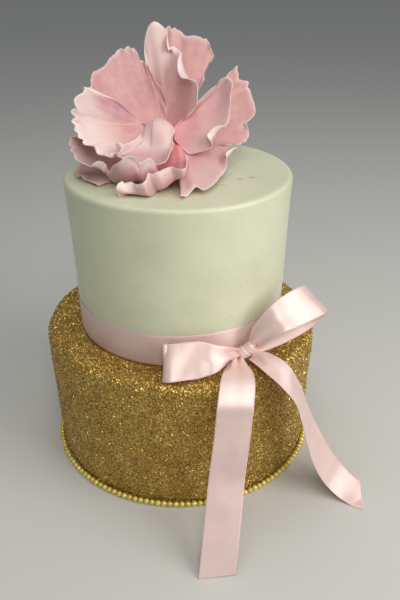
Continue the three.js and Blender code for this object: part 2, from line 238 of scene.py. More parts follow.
def colour(red, green, blue):  # from the 0 to 255 scale of a paint program to linear light
    return tuple((c / 255) ** 2.2 for c in (red, green, blue)) + (1.0,)


# Geometry nodes made into plain meshes
def newNodeGroup(name, sizes):
    group = bpy.data.node_groups.new(name, "GeometryNodeTree")
    group.interface.new_socket("Geometry", in_out="INPUT", socket_type="NodeSocketGeometry")
    for key, value in sizes.items():
        kind = "NodeSocketInt" if isinstance(value, int) else "NodeSocketFloat"
        group.interface.new_socket(key, in_out="INPUT", socket_type=kind)
    group.interface.new_socket("Geometry", in_out="OUTPUT", socket_type="NodeSocketGeometry")
    start = group.nodes.new("NodeGroupInput")
    end = group.nodes.new("NodeGroupOutput")
    return group, start, end


def runNodes(name, base, group, sizes):
    modifier = base.modifiers.new(group.name, "NODES")
    modifier.node_group = group
    for item in group.interface.items_tree:
        if item.in_out == "INPUT" and item.name in sizes:
            modifier[item.identifier] = sizes[item.name]
    evaluated = base.evaluated_get(bpy.context.evaluated_depsgraph_get())
    mesh = bpy.data.meshes.new_from_object(evaluated)
    base.modifiers.remove(modifier)
    return addObject(name, mesh)


def isOver(group, a, b):
    return newNode(group, "FunctionNodeCompare", {0: a, 1: b}, operation="GREATER_THAN").outputs[0]


# A random number for each element, or a random vector where low and high are tuples
def randomBetween(group, low, high, seed):
    isVector = isinstance(low, tuple)
    first, kind = (0, "FLOAT_VECTOR") if isVector else (2, "FLOAT")
    inputs = {first: low, first + 1: high, "Seed": seed}
    made = newNode(group, "FunctionNodeRandomValue", inputs, data_type=kind)
    return made.outputs[0 if isVector else 1]


# The end of a tree of scattered grains: each gets a tone of its own, and all become one plain mesh
def endTree(group, end, grains, toneName, toneSeed, look):
    kept = newNode(group, "GeometryNodeStoreNamedAttribute", {
        "Geometry": grains, "Name": toneName, "Value": randomBetween(group, 0.0, 1.0, toneSeed)},
        data_type="FLOAT", domain="INSTANCE")
    real = newNode(group, "GeometryNodeRealizeInstances", {"Geometry": kept.outputs[0]})
    done = newNode(group, "GeometryNodeSetMaterial", {"Geometry": real.outputs[0], "Material": look})
    group.links.new(done.outputs[0], end.inputs[0])


# the lowest and highest of a random turn, in radians
noTurn, anyTurn = (0.0, 0.0, 0.0), (6.28, 6.28, 6.28)


def finishPiece(obj, slotName, *nodes):
    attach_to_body(obj, "root")
    if nodes:
        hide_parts(*nodes)
    print(f"{obj.name}: {sum(len(p.vertices) - 2 for p in obj.data.polygons)} triangles")


# Camera, floor and light
camera = {  # place in metres, lens and sensor in millimetres, the rest in degrees
    "at": (0.0, -0.4717, 0.3753), "lens": 40.18, "sensor": 36.0, "down": 28.56, "turn": 1.85, "roll": -0.24,
}
lightsAim = (0, 0, 0.15)
lights = [  # name, place, size, watts, colour
    ("key", (0.95, -0.6, 0.75), 1.1, 10.3, (1.0, 0.98, 0.94)),
    ("front", (0.12, -1.0, 1.0), 0.34, 2.7, (1.0, 0.95, 0.87)),
    ("high front", (0.05, -0.6, 1.25), 0.7, 2.2, (1.0, 0.96, 0.9)),
    ("overhead", (-0.1, 0.15, 1.35), 0.7, 2.6, (1.0, 0.98, 0.95)),
]
surroundings = {"floor": colour(206, 206, 202), "floorHalf": 30.0, "air": colour(205, 209, 212), "glow": 0.36}


def addCamera():
    data = bpy.data.cameras.new("view")
    data.lens = camera["lens"]
    data.sensor_width = camera["sensor"]
    obj = addObject("view", data)
    turn = Matrix.Rotation(math.radians(-camera["turn"]), 4, "Z")
    down = Matrix.Rotation(math.radians(90 - camera["down"]), 4, "X")
    roll = Matrix.Rotation(math.radians(camera["roll"]), 4, "Z")
    obj.matrix_world = Matrix.Translation(camera["at"]) @ turn @ down @ roll
    bpy.context.scene.camera = obj


def addFloor():
    look = newLook("pale floor", Base_Color=surroundings["floor"], Roughness=0.75)
    half = surroundings["floorHalf"]
    corners = [(-half, -half, 0), (half, -half, 0), (half, half, 0), (-half, half, 0)]
    floor = makeMesh("floor", corners, [[0, 1, 2, 3]], look)


def addRoom():
    world = bpy.data.worlds.new("room")
    world.use_nodes = True
    world.node_tree.nodes["Background"].inputs["Color"].default_value = surroundings["air"]
    world.node_tree.nodes["Background"].inputs["Strength"].default_value = surroundings["glow"]
    bpy.context.scene.world = world
    bpy.context.scene.view_settings.view_transform = "Standard"


def addLight(name, place, size, watts, tint):
    data = bpy.data.lights.new(name, "AREA")
    data.shape = "DISK"
    data.size = size
    data.energy = watts
    data.color = tint
    obj = addObject(name, data)
    aim = Vector(place) - Vector(lightsAim)
    obj.matrix_world = Matrix.Translation(place) @ aim.to_track_quat("Z", "Y").to_matrix().to_4x4()


addCamera()
addFloor()
addRoom()
for light in lights:
    addLight(*light)
print("camera, floor and lights are set")


# Lower tier: a rough coat of gold sugar, with loose crystals on it
goldTier = {
    "pitch": 1.08 * mm,  # spacing of the relief's facets
    "chamfer": 1.0 * mm,
    "edge": 6.0 * mm,  # rounding of the top edge
    "edgeSteps": 9,
    "footInset": 3.5 * mm,  # how much narrower the tier is at its foot
    "innerRadius": 76.0 * mm,  # the upper tier hides what lies inside this
    "reliefUp": (0.2 * mm, 1.5 * mm),  # the relief fades in over these heights
    "reliefOut": (3 * mm, 6 * mm),  # and over these distances from innerRadius
    "relief": 0.45 * mm,
    "clumps": 0.35 * mm,
    "clumpWaves": (8, 90, 260),  # how many, the lowest and highest in radians a metre
    "unevenness": 0.35 * mm,
    "unevenRise": 30 * mm,
    "stray": 0.32,  # how far a facet's corner strays sideways, as a share of pitch
    "seed": 11,
}
crystals = {
    "Spacing": 1.49 * mm, "Per Area": 420000.0, "Smallest": 0.55 * mm, "Largest": 1.05 * mm,
    "Bare Radius": 80.5 * mm, "Bare Foot": 1.6 * mm, "Seed": 5,
}


def goldLook():
    look = newLook("gold sugar", Metallic=0.75, Roughness=0.3, Coat_Weight=0.2, Coat_Roughness=0.15)
    where = objectPlace(look)
    cells = addNode(look, "TexVoronoi", {"Vector": where, "Scale": 1000.0, "Randomness": 1.0})
    tone = addNode(look, "SeparateColor", {"Color": cells.outputs["Color"]}).outputs["Red"]
    own = ownValue(look, "grainTone")
    tone = calculate(look, "FRACT", calculate(look, "ADD", tone, own))
    patches = grain(look, where, 55.0, 2.0)
    tone = calculate(look, "MULTIPLY", tone, spread(look, patches, 0.3, 0.7, 0.8, 1.1))
    shades = addNode(look, "ValToRGB", {"Fac": tone})
    shades.color_ramp.elements[0].color = colour(120, 92, 38)
    shades.color_ramp.elements[1].color = colour(238, 210, 124)
    middle = shades.color_ramp.elements.new(0.5)
    middle.color = colour(182, 143, 66)
    attach(look, "Base Color", shades.outputs["Color"])
    attach(look, "Roughness", spread(look, tone, 0.0, 1.0, 0.44, 0.26))
    fine = grain(look, where, 2200.0, 1.0)
    attach(look, "Normal", addBump(look, fine, 0.15 * mm, 0.5))
    return look


# Radius and height of points from a tier's foot up its side, round its edge and in over its top
def tierProfile(s, topRadius, height, base=0.0):
    top = base + height
    edge, chamfer, footRadius = s["edge"], s["chamfer"], topRadius - s["footInset"]
    side = max(2, round((height - edge - chamfer) / s["pitch"]))
    ledge = max(2, round((topRadius - edge - s["innerRadius"]) / s["pitch"]))
    turn = np.linspace(0, math.pi / 2, s["edgeSteps"] + 1)
    pieces = [
        [(footRadius - chamfer, base)],
        np.stack([np.linspace(footRadius, topRadius, side + 1)[:-1],
                  np.linspace(base + chamfer, top - edge, side + 1)[:-1]], 1),
        np.stack([topRadius - edge + edge * np.cos(turn), top - edge + edge * np.sin(turn)], 1),
        np.stack([np.linspace(topRadius - edge, s["innerRadius"], ledge + 1)[1:], np.full(ledge, top)], 1),
    ]
    return np.concatenate(pieces)


# Points of a turned shape: its rings from the bottom up, then the middle points of its two ends
def turnedPoints(radius, height, turn, bottom, top, middle=(0.0, 0.0)):
    x, y = middle
    rings = gridOf(x + radius * np.cos(turn), y + radius * np.sin(turn), height)
    return np.concatenate([rings.reshape(-1, 3), [(x, y, bottom), (x, y, top)]])


# Faces between such rings, with a fan round the middle point of each end
def turnedFaces(rows, around):
    number = np.arange(rows * around).reshape(rows, around)
    nextOne = np.roll(number, -1, 1)
    a, b, c, d = number[:-1], nextOne[:-1], nextOne[1:], number[1:]
    odd = (np.arange(rows - 1)[:, None] + np.arange(around)[None, :]) % 2 == 0
    split = np.where(odd[..., None, None],
                     np.stack([np.stack([a, b, c], -1), np.stack([a, c, d], -1)], -2),
                     np.stack([np.stack([a, b, d], -1), np.stack([b, c, d], -1)], -2))
    low = rows * around
    fans = [np.stack([nextOne[0], number[0], np.full(around, low)], -1),
            np.stack([number[-1], nextOne[-1], np.full(around, low + 1)], -1)]
    return np.concatenate([split.reshape(-1, 3)] + fans)


def makeGoldTier(look):
    s = goldTier
    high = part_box("lower_tier")[1]
    profile = tierProfile(s, high.x, high.z)
    around = round(2 * math.pi * high.x / s["pitch"])
    turn = onceRound(around)
    radius, height = profile[:, 0][:, None], profile[:, 1][:, None]
    dice = np.random.default_rng(s["seed"])
    slope = unit(np.gradient(profile, axis=0))
    normalR, normalZ = slope[:, 1][:, None], -slope[:, 0][:, None]
    shape = (len(profile), around)
    free = ramp(height, *s["reliefUp"]) * ramp(radius, *(s["innerRadius"] + out for out in s["reliefOut"]))
    clump = np.zeros(shape)
    waves, lowest, highest = s["clumpWaves"]
    for _ in range(waves):
        size = dice.uniform(lowest, highest)
        lean = dice.uniform(0, 2 * math.pi)
        turns = round(size * high.x * math.cos(lean))  # whole, so that the wave meets itself
        clump += np.sin(turns * turn + size * 2 * math.sin(lean) * (height - radius) + dice.uniform(0, 6.3))
    bump = s["relief"] * dice.uniform(-1, 1, shape) + s["clumps"] * clump / 3
    bump += s["unevenness"] * np.sin(2 * turn + 1.3) * np.sin(height / s["unevenRise"])
    shift = dice.uniform(-s["stray"], s["stray"], (2,) + shape) * s["pitch"]
    radius = radius + free * (bump * normalR - shift[0] * normalZ)
    height = height + free * (bump * normalZ + shift[0] * normalR)
    turn = turn + free * shift[1] / high.x
    points = turnedPoints(radius, height, turn, 0, high.z)
    tones = dice.uniform(0, 1, len(points))
    faces = turnedFaces(len(profile), around)
    obj = makeMesh("gold_tier", points, faces, look, smooth=False, attributes={"grainTone": tones})
    finishPiece(obj, "gold_sugar", "lower_tier")
    return obj


def makeCrystals(tier, look):
    group, start, end = newNodeGroup("loose crystals", crystals)
    sized = start.outputs
    place = newNode(group, "GeometryNodeInputPosition").outputs[0]
    parts = newNode(group, "ShaderNodeSeparateXYZ", {0: place}).outputs
    flat = newNode(group, "ShaderNodeCombineXYZ", {0: parts[0], 1: parts[1]}).outputs[0]
    reach = newNode(group, "ShaderNodeVectorMath", {0: flat}, operation="LENGTH").outputs["Value"]
    outside = isOver(group, reach, sized["Bare Radius"])
    above = isOver(group, parts[2], sized["Bare Foot"])
    shown = newNode(group, "FunctionNodeBooleanMath", {0: outside, 1: above}, operation="AND")
    scatter = newNode(group, "GeometryNodeDistributePointsOnFaces", {
        "Mesh": sized["Geometry"], "Selection": shown.outputs[0], "Distance Min": sized["Spacing"],
        "Density Max": sized["Per Area"], "Seed": sized["Seed"]}, distribute_method="POISSON")
    block = newNode(group, "GeometryNodeMeshCube", {"Size": (1.0, 1.0, 1.0)})
    size = randomBetween(group, sized["Smallest"], sized["Largest"], 3)
    stretch = randomBetween(group, (0.7, 0.7, 0.7), (1.3, 1.1, 1.1), 8)
    scale = newNode(group, "ShaderNodeVectorMath", {0: stretch, "Scale": size}, operation="SCALE")
    placed = newNode(group, "GeometryNodeInstanceOnPoints", {
        "Points": scatter.outputs["Points"], "Instance": block.outputs["Mesh"],
        "Rotation": randomBetween(group, noTurn, anyTurn, 4), "Scale": scale.outputs["Vector"]})
    endTree(group, end, placed.outputs[0], "grainTone", 6, look)
    obj = runNodes("gold_crystals", tier, group, crystals)
    finishPiece(obj, "gold_sugar")


gold = goldLook()
goldBody = makeGoldTier(gold)
makeCrystals(goldBody, gold)
print("the gold tier is coated")


# Pearls round the foot
pearlBorder = {"Count": 146, "Bead Radius": 2.25 * mm, "Ring Radius": 105.0 * mm, "Height": 2.29 * mm,
               "Scatter": 0.1 * mm, "Seed": 2}


def pearlLook():
    look = newLook("gold pearl", Metallic=0.35, Roughness=0.24, Coat_Weight=0.5, Coat_Roughness=0.1)
    where = objectPlace(look)
    own = ownValue(look, "beadTone")
    mottled = grain(look, where, 900.0)
    shared = calculate(look, "MULTIPLY", mottled, 0.35)
    tone = calculate(look, "ADD", shared, calculate(look, "MULTIPLY", own, 0.6))
    attach(look, "Base Color", blendColour(look, tone, colour(214, 188, 66), colour(250, 234, 138)))
    attach(look, "Normal", addBump(look, mottled, 0.01 * mm, 0.3))
    return look


def makePearls(look):
    group, start, end = newNodeGroup("pearl border", pearlBorder)
    sized = start.outputs
    ring = newNode(group, "GeometryNodeCurvePrimitiveCircle", {
        "Resolution": sized["Count"], "Radius": sized["Ring Radius"]})
    spots = newNode(group, "GeometryNodeCurveToPoints", {"Curve": ring.outputs[0], "Count": sized["Count"]})
    nudge = randomBetween(group, (-1.0, -1.0, 0.0), (1.0, 1.0, 0.0), sized["Seed"])
    small = newNode(group, "ShaderNodeVectorMath", {0: nudge, "Scale": sized["Scatter"]}, operation="SCALE")
    rise = newNode(group, "ShaderNodeCombineXYZ", {2: sized["Height"]}).outputs[0]
    offset = newNode(group, "ShaderNodeVectorMath", {0: small.outputs[0], 1: rise}, operation="ADD")
    moved = newNode(group, "GeometryNodeSetPosition", {
        "Geometry": spots.outputs["Points"], "Offset": offset.outputs[0]})
    bead = newNode(group, "GeometryNodeMeshUVSphere", {
        "Segments": 16, "Rings": 10, "Radius": sized["Bead Radius"]})
    soft = newNode(group, "GeometryNodeSetShadeSmooth", {"Geometry": bead.outputs["Mesh"]})
    placed = newNode(group, "GeometryNodeInstanceOnPoints", {
        "Points": moved.outputs[0], "Instance": soft.outputs[0],
        "Rotation": randomBetween(group, noTurn, anyTurn, 9), "Scale": randomBetween(group, 0.96, 1.0, 12)})
    endTree(group, end, placed.outputs[0], "beadTone", 7, look)
    base = makeMesh("pearl seat", [(0, 0, 0), (mm, 0, 0), (0, mm, 0)], [[0, 1, 2]], look)
    obj = runNodes("pearl_beads", base, group, pearlBorder)
    bpy.data.objects.remove(base)
    finishPiece(obj, "sugar_pearl", "pearl_border")


makePearls(pearlLook())
print("the pearls are set round the foot")


# Upper tier: smooth rolled icing
icedTier = {
    "footInset": 4.0 * mm,
    "edge": 3.4 * mm,
    "edgeSteps": 8,
    "chamfer": 1.0 * mm,
    "pitch": 2.2 * mm,
    "around": 288,
    "innerRadius": 6.0 * mm,
    "unevenness": 0.16 * mm,
    "unevenFrom": (50 * mm, 70 * mm),  # the side's waves fade in over these distances from the axis
    "dipFrom": (10 * mm, 30 * mm),  # and the top's over these
}
greySpots = [  # small grey marks: the middle, the size each way and the strength
    ((0.0427, -0.0233, 0.2264), (0.0032, 0.0018, 0.002), 0.75),
    ((0.0514, -0.0193, 0.2264), (0.0048, 0.002, 0.002), 0.75),
    ((0.0293, -0.0355, 0.2264), (0.0036, 0.0018, 0.002), 0.4),
    # these two, on the side, are small dents shown only as painted shade
    ((0.0307, -0.0734, 0.1423), (0.0008, 0.002, 0.0008), 0.4),
    ((0.0335, -0.0722, 0.1447), (0.001, 0.002, 0.0008), 0.4),
]
# a warm-tinted patch on the top in front of the flower
warmPatch = ((0.007, -0.0575, 0.2264), (0.02, 0.011, 0.006), 0.35)  # a warm one in front of the flower


def addSpot(look, base, where, middle, size, strength, tint):  # strongest at middle, none from size on
    away = addNode(look, "VectorMath", {0: where, 1: middle}, operation="SUBTRACT").outputs["Vector"]
    near = addNode(look, "VectorMath", {0: away, 1: size}, operation="DIVIDE").outputs["Vector"]
    far = addNode(look, "VectorMath", {0: near}, operation="LENGTH").outputs["Value"]
    shown = calculate(look, "MULTIPLY", spread(look, far, 0.2, 1.0, 1.0, 0.0), strength)
    return blendColour(look, shown, base, tint)


def icingLook():
    look = newLook("rolled icing", Roughness=0.36, Subsurface_Weight=0.12, Subsurface_Scale=1.0,
                   Subsurface_Radius=(0.004, 0.003, 0.002), Coat_Weight=0.3, Coat_Roughness=0.34,
                   Sheen_Weight=0.15, Sheen_Roughness=0.5, Sheen_Tint=(0.96, 1.0, 0.94, 1.0))
    where = objectPlace(look)
    cloudy = grain(look, stretched(look, where, (1.0, 1.0, 1.6)), 22.0, 3.0)
    mottled = grain(look, where, 260.0, 4.0)
    base = blendColour(look, spread(look, cloudy, 0.3, 0.7), colour(205, 208, 176), colour(219, 221, 190))
    base = dab(look, base, grain(look, where, 9.0, 1.0), 0.42, 0.68, 0.6, colour(200, 211, 176))
    base = dab(look, base, mottled, 0.35, 0.75, 0.25, colour(232, 231, 202))
    base = addSpot(look, base, where, *warmPatch, colour(236, 206, 176))
    # grey spots: real marks on the top, and painted shade of two dents on the side
    for greySpot in greySpots:
        base = addSpot(look, base, where, *greySpot, colour(118, 122, 112))
    attach(look, "Base Color", base)
    attach(look, "Roughness", spread(look, mottled, 0.3, 0.7, 0.32, 0.42))
    under = addBump(look, cloudy, 0.6 * mm, 0.35)
    attach(look, "Normal", addBump(look, mottled, 0.06 * mm, 0.5, under))
    return look


def makeIcedTier(look):
    s = icedTier
    low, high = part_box("upper_tier")
    profile = tierProfile(s, high.x, high.z - low.z, low.z)
    turn = onceRound(s["around"])
    radius, height = profile[:, 0][:, None], profile[:, 1][:, None]
    # three slow waves over the side, in whole turns round it and metres up it for a radian
    wave = np.sin(3 * turn + height / 0.021) + 0.7 * np.sin(7 * turn - height / 0.013 + 2)
    wave = wave + np.sin(height / 0.017)
    radius = radius + s["unevenness"] * wave * ramp(radius, *s["unevenFrom"])
    onTop = ramp(height, high.z - 1 * mm, high.z)
    dip = 1 + np.sin(2 * turn + radius / 0.02) * ramp(radius, *s["dipFrom"])
    height = height - s["unevenness"] * onTop * dip
    points = turnedPoints(radius, height, turn, low.z, height[-1].mean())
    obj = makeMesh("iced_tier", points, turnedFaces(len(profile), s["around"]), look)
    finishPiece(obj, "icing", "upper_tier")


makeIcedTier(icingLook())
print("the upper tier is iced")


# Satin ribbon: the band, the bow's two loops, its two tails and its knot
ribbon = {
    "width": 25.0,  # in millimetres, as everything in strips and knot is
    "thickness": 0.4 * mm,
    "rest": 0.35 * mm,  # how high its middle lies over the surface that the cake stands on
    "hem": (11.5 * mm, 11.8 * mm),  # where its woven edge begins, from the middle out
}
ribbonBand = {
    "low": 0.3 * mm,  # how far its lower edge is over the tier's foot
    "clearance": 0.45 * mm, "bulge": 0.12 * mm, "drift": 0.15 * mm, "steps": (360, 14),
}
# Each strip passes through stations: the middle's place in millimetres, the way the width runs, and
# how wide the ribbon is there, as it is gathered at the knot. folds is how many pleats cross it, how
# deep they are in millimetres and how far they are moved across in radians, slant is how far its end
# is cut askew, flat is its whole length, and steps is along and across.
strips = {
    "bow_loop_left": {
        "steps": (170, 26), "folds": (1.4, 1.1, 0.6), "slant": 0, "flat": 114, "held": "gathered",
        "stations": [
            ((40.5, -75.5, 116.5), (0.1, 0.6, 0.8), 6), ((31, -84, 121), (0.1, 0.6, 0.8), 11),
            ((21.5, -90, 121.8), (0, 0.5, 0.87), 20), ((11, -91.8, 122), (0, 0.45, 0.89), 25),
            ((-0.5, -93.6, 122), (0, 0.55, 0.84), 25.5), ((-9.6, -94.2, 121.1), (0, 0.6, 0.8), 25.5),
            ((-12.6, -91.6, 119.9), (0, 0.6, 0.8), 25), ((-7, -89.3, 118.8), (0, 0.62, 0.78), 25),
            ((12, -87.4, 117.6), (0, 0.6, 0.8), 21), ((29, -80.5, 114.8), (0.2, 0.4, 0.9), 12.5),
            ((39.5, -75.5, 114.8), (0.2, 0.4, 0.9), 6)],
    },
    "bow_loop_right": {
        "steps": (170, 26), "folds": (1.4, 1.1, 1.2), "slant": 0, "flat": 129, "held": "gathered",
        "stations": [
            ((48.5, -75, 121.5), (-0.5, 0.4, 0.8), 7), ((53.5, -79, 133), (-0.42, 0.5, 0.76), 14),
            ((65, -79, 144.5), (-0.48, 0.52, 0.7), 20), ((79, -73, 150.3), (-0.52, 0.5, 0.68), 24),
            ((92.5, -64, 152), (-0.6, 0.5, 0.6), 25), ((95, -57.5, 148.5), (-0.64, 0.42, 0.62), 25),
            ((88, -58.5, 140), (-0.62, 0.36, 0.7), 25), ((74, -65, 132), (-0.6, 0.36, 0.72), 22),
            ((58, -72, 123.5), (-0.6, 0.34, 0.74), 14), ((50.5, -75, 118.5), (-0.6, 0.3, 0.74), 6.5)],
    },
    "bow_tail_front": {
        "steps": (190, 26), "folds": (2.0, 1.5, -1.7), "slant": 2.5, "flat": 164, "held": "hung",
        "stations": [
            ((39.8, -76.5, 113.8), (1, 0.15, 0), 8), ((38.6, -85, 112.8), (1, 0.08, 0), 15),
            ((38.1, -94, 113.2), (1, 0.04, 0), 20), ((37.2, -103, 111.2), (1, 0, 0), 23.2),
            ((35.6, -112, 103.7), (1, 0, 0), 24.1), ((33.9, -118.7, 92.5), (1, 0, 0), 24.4),
            ((32.1, -121.5, 72), (1, 0, 0), 24.5), ((29, -130, 53), (1, 0, 0), 24.5),
            ((26.1, -143, 35), (1, 0, 0), 24.5), ((23.2, -156.5, 17.5), (1, 0, 0), 24.5),
            ((20.4, -169, 0.7), (1, 0.05, 0), 24.5)],
    },
    "bow_tail_right": {
        "steps": (190, 26), "folds": (1.2, 1.6, 0.5), "slant": 6, "flat": 160, "held": "hung",
        "stations": [
            ((49, -76.5, 115.8), (0.5, 0.5, 0.6), 8), ((56.5, -83.5, 116), (0.48, 0.78, 0.35), 14),
            ((65, -90, 112.8), (0.47, 0.86, 0.15), 20), ((73, -94.5, 106), (0.44, 0.89, -0.02), 23),
            ((80.5, -95.5, 94), (0.35, 0.87, -0.25), 24.5), ((86.5, -93.5, 76), (0.36, 0.84, -0.38), 24.5),
            ((93, -90.5, 56), (0.47, 0.8, -0.36), 24.5), ((101.5, -89, 35), (0.62, 0.75, -0.2), 24.5),
            ((111, -90, 18), (0.69, 0.72, -0.03), 24.5), ((121.5, -94, 7), (0.7, 0.71, 0.05), 24.5),
            ((134, -101, 0.7), (0.72, 0.68, 0), 24.5)],
    },
}


def satinLook():
    look = newLook("pink satin", Roughness=0.42, Specular_IOR_Level=0.9, Anisotropic=0.9, Metallic=0.35,
                   Sheen_Weight=0.2, Sheen_Roughness=0.35, Sheen_Tint=(1.0, 0.88, 0.86, 1.0))
    onRibbon = addNode(look, "UVMap", uv_map=surfaceMap).outputs["UV"]  # in metres, across and along
    parts = addNode(look, "SeparateXYZ", {"Vector": onRibbon}).outputs
    streaks = grain(look, stretched(look, onRibbon, (2600.0, 60.0, 1.0)), 1.0, 2.0)
    cloudy = grain(look, objectPlace(look), 60.0, 2.0)
    base = blendColour(look, spread(look, cloudy, 0.3, 0.7), colour(240, 205, 202), colour(249, 220, 214))
    base = dab(look, base, streaks, 0.3, 0.7, 0.3, colour(250, 232, 218))
    fromMiddle = calculate(look, "ABSOLUTE", parts["X"])
    selvedge = spread(look, fromMiddle, *ribbon["hem"])
    base = blendColour(look, calculate(look, "MULTIPLY", selvedge, 0.5), base, colour(236, 188, 190))
    attach(look, "Base Color", base)
    attach(look, "Roughness", spread(look, streaks, 0.3, 0.7, 0.39, 0.48))
    wave = {"Vector": onRibbon, "Scale": 700.0, "Distortion": 0.0}  # a rib every 0.45 mm
    ribs = addNode(look, "TexWave", wave, bands_direction="Y").outputs["Fac"]
    hem = calculate(look, "MULTIPLY", ribs, selvedge)
    under = addBump(look, streaks, 0.04 * mm, 0.6)
    attach(look, "Normal", addBump(look, hem, 0.05 * mm, 0.5, under))
    tangent = addNode(look, "Tangent", direction_type="UV_MAP", uv_map=surfaceMap).outputs["Tangent"]
    attach(look, "Tangent", tangent)
    return look


pleatedBy = 16  # the pleats have their full depth where the ribbon is this much narrower, in mm
cutFrom = 0.85  # the share of a strip's length from which its cut goes askew
tangentStep = 0.004  # the share of the length over which a strip's direction is taken
pleatDrift = 0.8  # how far the pleats move across on the way along, in radians


# The middle surface of one strip of ribbon, in metres, and its UV map in metres
def stripSurface(strip):
    alongSteps, acrossSteps = strip["steps"]
    u = np.linspace(0, 1, alongSteps)
    v = np.linspace(-1, 1, acrossSteps)
    places, ways, widths = (np.array([s[k] for s in strip["stations"]], float) for k in range(3))
    middle = curveThrough(places, u)
    ahead = curveThrough(places, np.minimum(u + tangentStep, 1))
    behind = curveThrough(places, np.maximum(u - tangentStep, 0))
    along = unit(ahead - behind)
    across = curveThrough(ways, u)
    across = unit(across - along * np.sum(across * along, 1, keepdims=True))
    width = curveThrough(widths, u)
    facing = np.cross(along, across)
    pleats, depth, shift = strip["folds"]
    gathered = np.clip((ribbon["width"] - width) / pleatedBy, 0, 1)
    fold = depth * gathered[:, None] * np.sin(math.pi * pleats * v[None, :] + shift + pleatDrift * u[:, None])
    cut = -strip["slant"] * np.clip((u - cutFrom) / (1 - cutFrom), 0, 1)
    grid = (middle[:, None] + across[:, None] * (v[None, :] * width[:, None] / 2)[..., None]
            + along[:, None] * (v[None, :] * cut[:, None])[..., None] + facing[:, None] * fold[..., None])
    grid = grid * mm
    grid[..., 2] = np.maximum(grid[..., 2], ribbon["rest"])
    run = np.concatenate([[0], np.cumsum(np.linalg.norm(np.diff(middle, axis=0), axis=1))]) * mm
    return grid, gridOf(v[None, :] * ribbon["width"] / 2 * mm, run[:, None])


def makeStrip(name, strip, look):
    grid, uv = stripSurface(strip)
    obj = makeShell("satin_" + name, grid, ribbon["thickness"], uv, look)
    finishPiece(obj, "satin", name)


def makeBand(look):
    s = ribbonBand
    low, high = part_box("upper_tier")
    foot = high.x - icedTier["footInset"]
    slope = icedTier["footInset"] / (high.z - low.z)
    turn = np.linspace(0, 2 * math.pi, s["steps"][0] + 1)[:, None]
    rise = np.linspace(0, ribbon["width"] * mm, s["steps"][1])[None, :]
    radius = foot + slope * rise + s["clearance"] + s["bulge"] * np.sin(5 * turn + 1) * np.sin(rise * 180)
    height = low.z + s["low"] + rise + s["drift"] * np.sin(4 * turn)
    grid = gridOf(radius * np.cos(turn), radius * np.sin(turn), height)
    uv = gridOf(rise - ribbon["width"] / 2 * mm, turn * foot)
    obj = makeShell("satin_band", grid[:-1], ribbon["thickness"], uv, look, closed=True)
    finishPiece(obj, "satin", "ribbon_band")


# millimetres, lean in degrees, steps round and along
knot = {
    "at": (46.4, -74.5, 118.4),
    "radius": (4.6, 4.2),  # up and down, front to back
    "length": 14.5,
    "lean": 39.0,
    "pleats": 5,
    "pleatDepth": 0.3,
    "sway": 0.25,  # how far the pleats move to each side on the way round
    "taper": 0.3,
    "waist": 0.05,
    "folded": 0.7,  # its width, as a share of the ribbon's
    "steps": (96, 60),
}


def makeKnot(look):
    s = knot
    turn = np.linspace(0, 2 * math.pi, s["steps"][0] + 1)[:, None]
    v = np.linspace(-1, 1, s["steps"][1])[None, :]
    ends = 1 - s["taper"] * np.abs(v) ** 3 - s["waist"] * np.cos(2 * math.pi * v)
    ridge = np.abs(np.sin(math.pi * (s["pleats"] * v / 2 + s["sway"] * np.sin(turn))))
    swell = ends + s["pleatDepth"] / s["radius"][0] * (ridge - 0.5)
    x = v * s["length"] / 2
    y = -s["radius"][1] * swell * np.cos(turn)
    z = s["radius"][0] * swell * np.sin(turn)
    lean = math.radians(s["lean"])
    across = x * math.cos(lean) - z * math.sin(lean)
    rise = x * math.sin(lean) + z * math.cos(lean)
    grid = (gridOf(across, y, rise) + s["at"]) * mm
    uv = gridOf(v * ribbon["width"] / 2 * mm, turn * s["radius"][0] * mm)
    obj = makeShell("satin_knot", grid[:-1], ribbon["thickness"], uv, look, closed=True)
    finishPiece(obj, "satin", "bow_knot")


satin = satinLook()
makeBand(satin)
for stripName, strip in strips.items():
    makeStrip(stripName, strip, satin)
makeKnot(satin)
print("the ribbon is tied")


# The flower: sugar paste petals round a short stub
petalPaste = {
    "across": 131,  # points from side to side
    "along": 57,  # points from root to rim
    "foot": 1.3,  # thickness at the root and at the rim, in millimetres
    "rim": 0.45,
    "clear": 0.1,  # how high the lowest petals lie over the icing
    "roll": 6.5,  # length of the rim's own slight roll
    "rollTurn": 18,  # and its angle in degrees, for each millimetre of the frill's depth
    "ruffle": 0.6,  # depth of the waves near the rim, as a share of the frill's
    "swell": 1.2,  # height of the slow swellings all over
    "sideWave": 0.7,  # and of the waves along the two sides
    "creaseCount": 13,
    "paleFrom": 0.2,
    "notch": 0.6,  # how far the notches between scallops cut in, as a share of the frill's depth
}
flowerCentre = np.array([-9.0, 2.0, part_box("upper_tier")[1].z / mm])
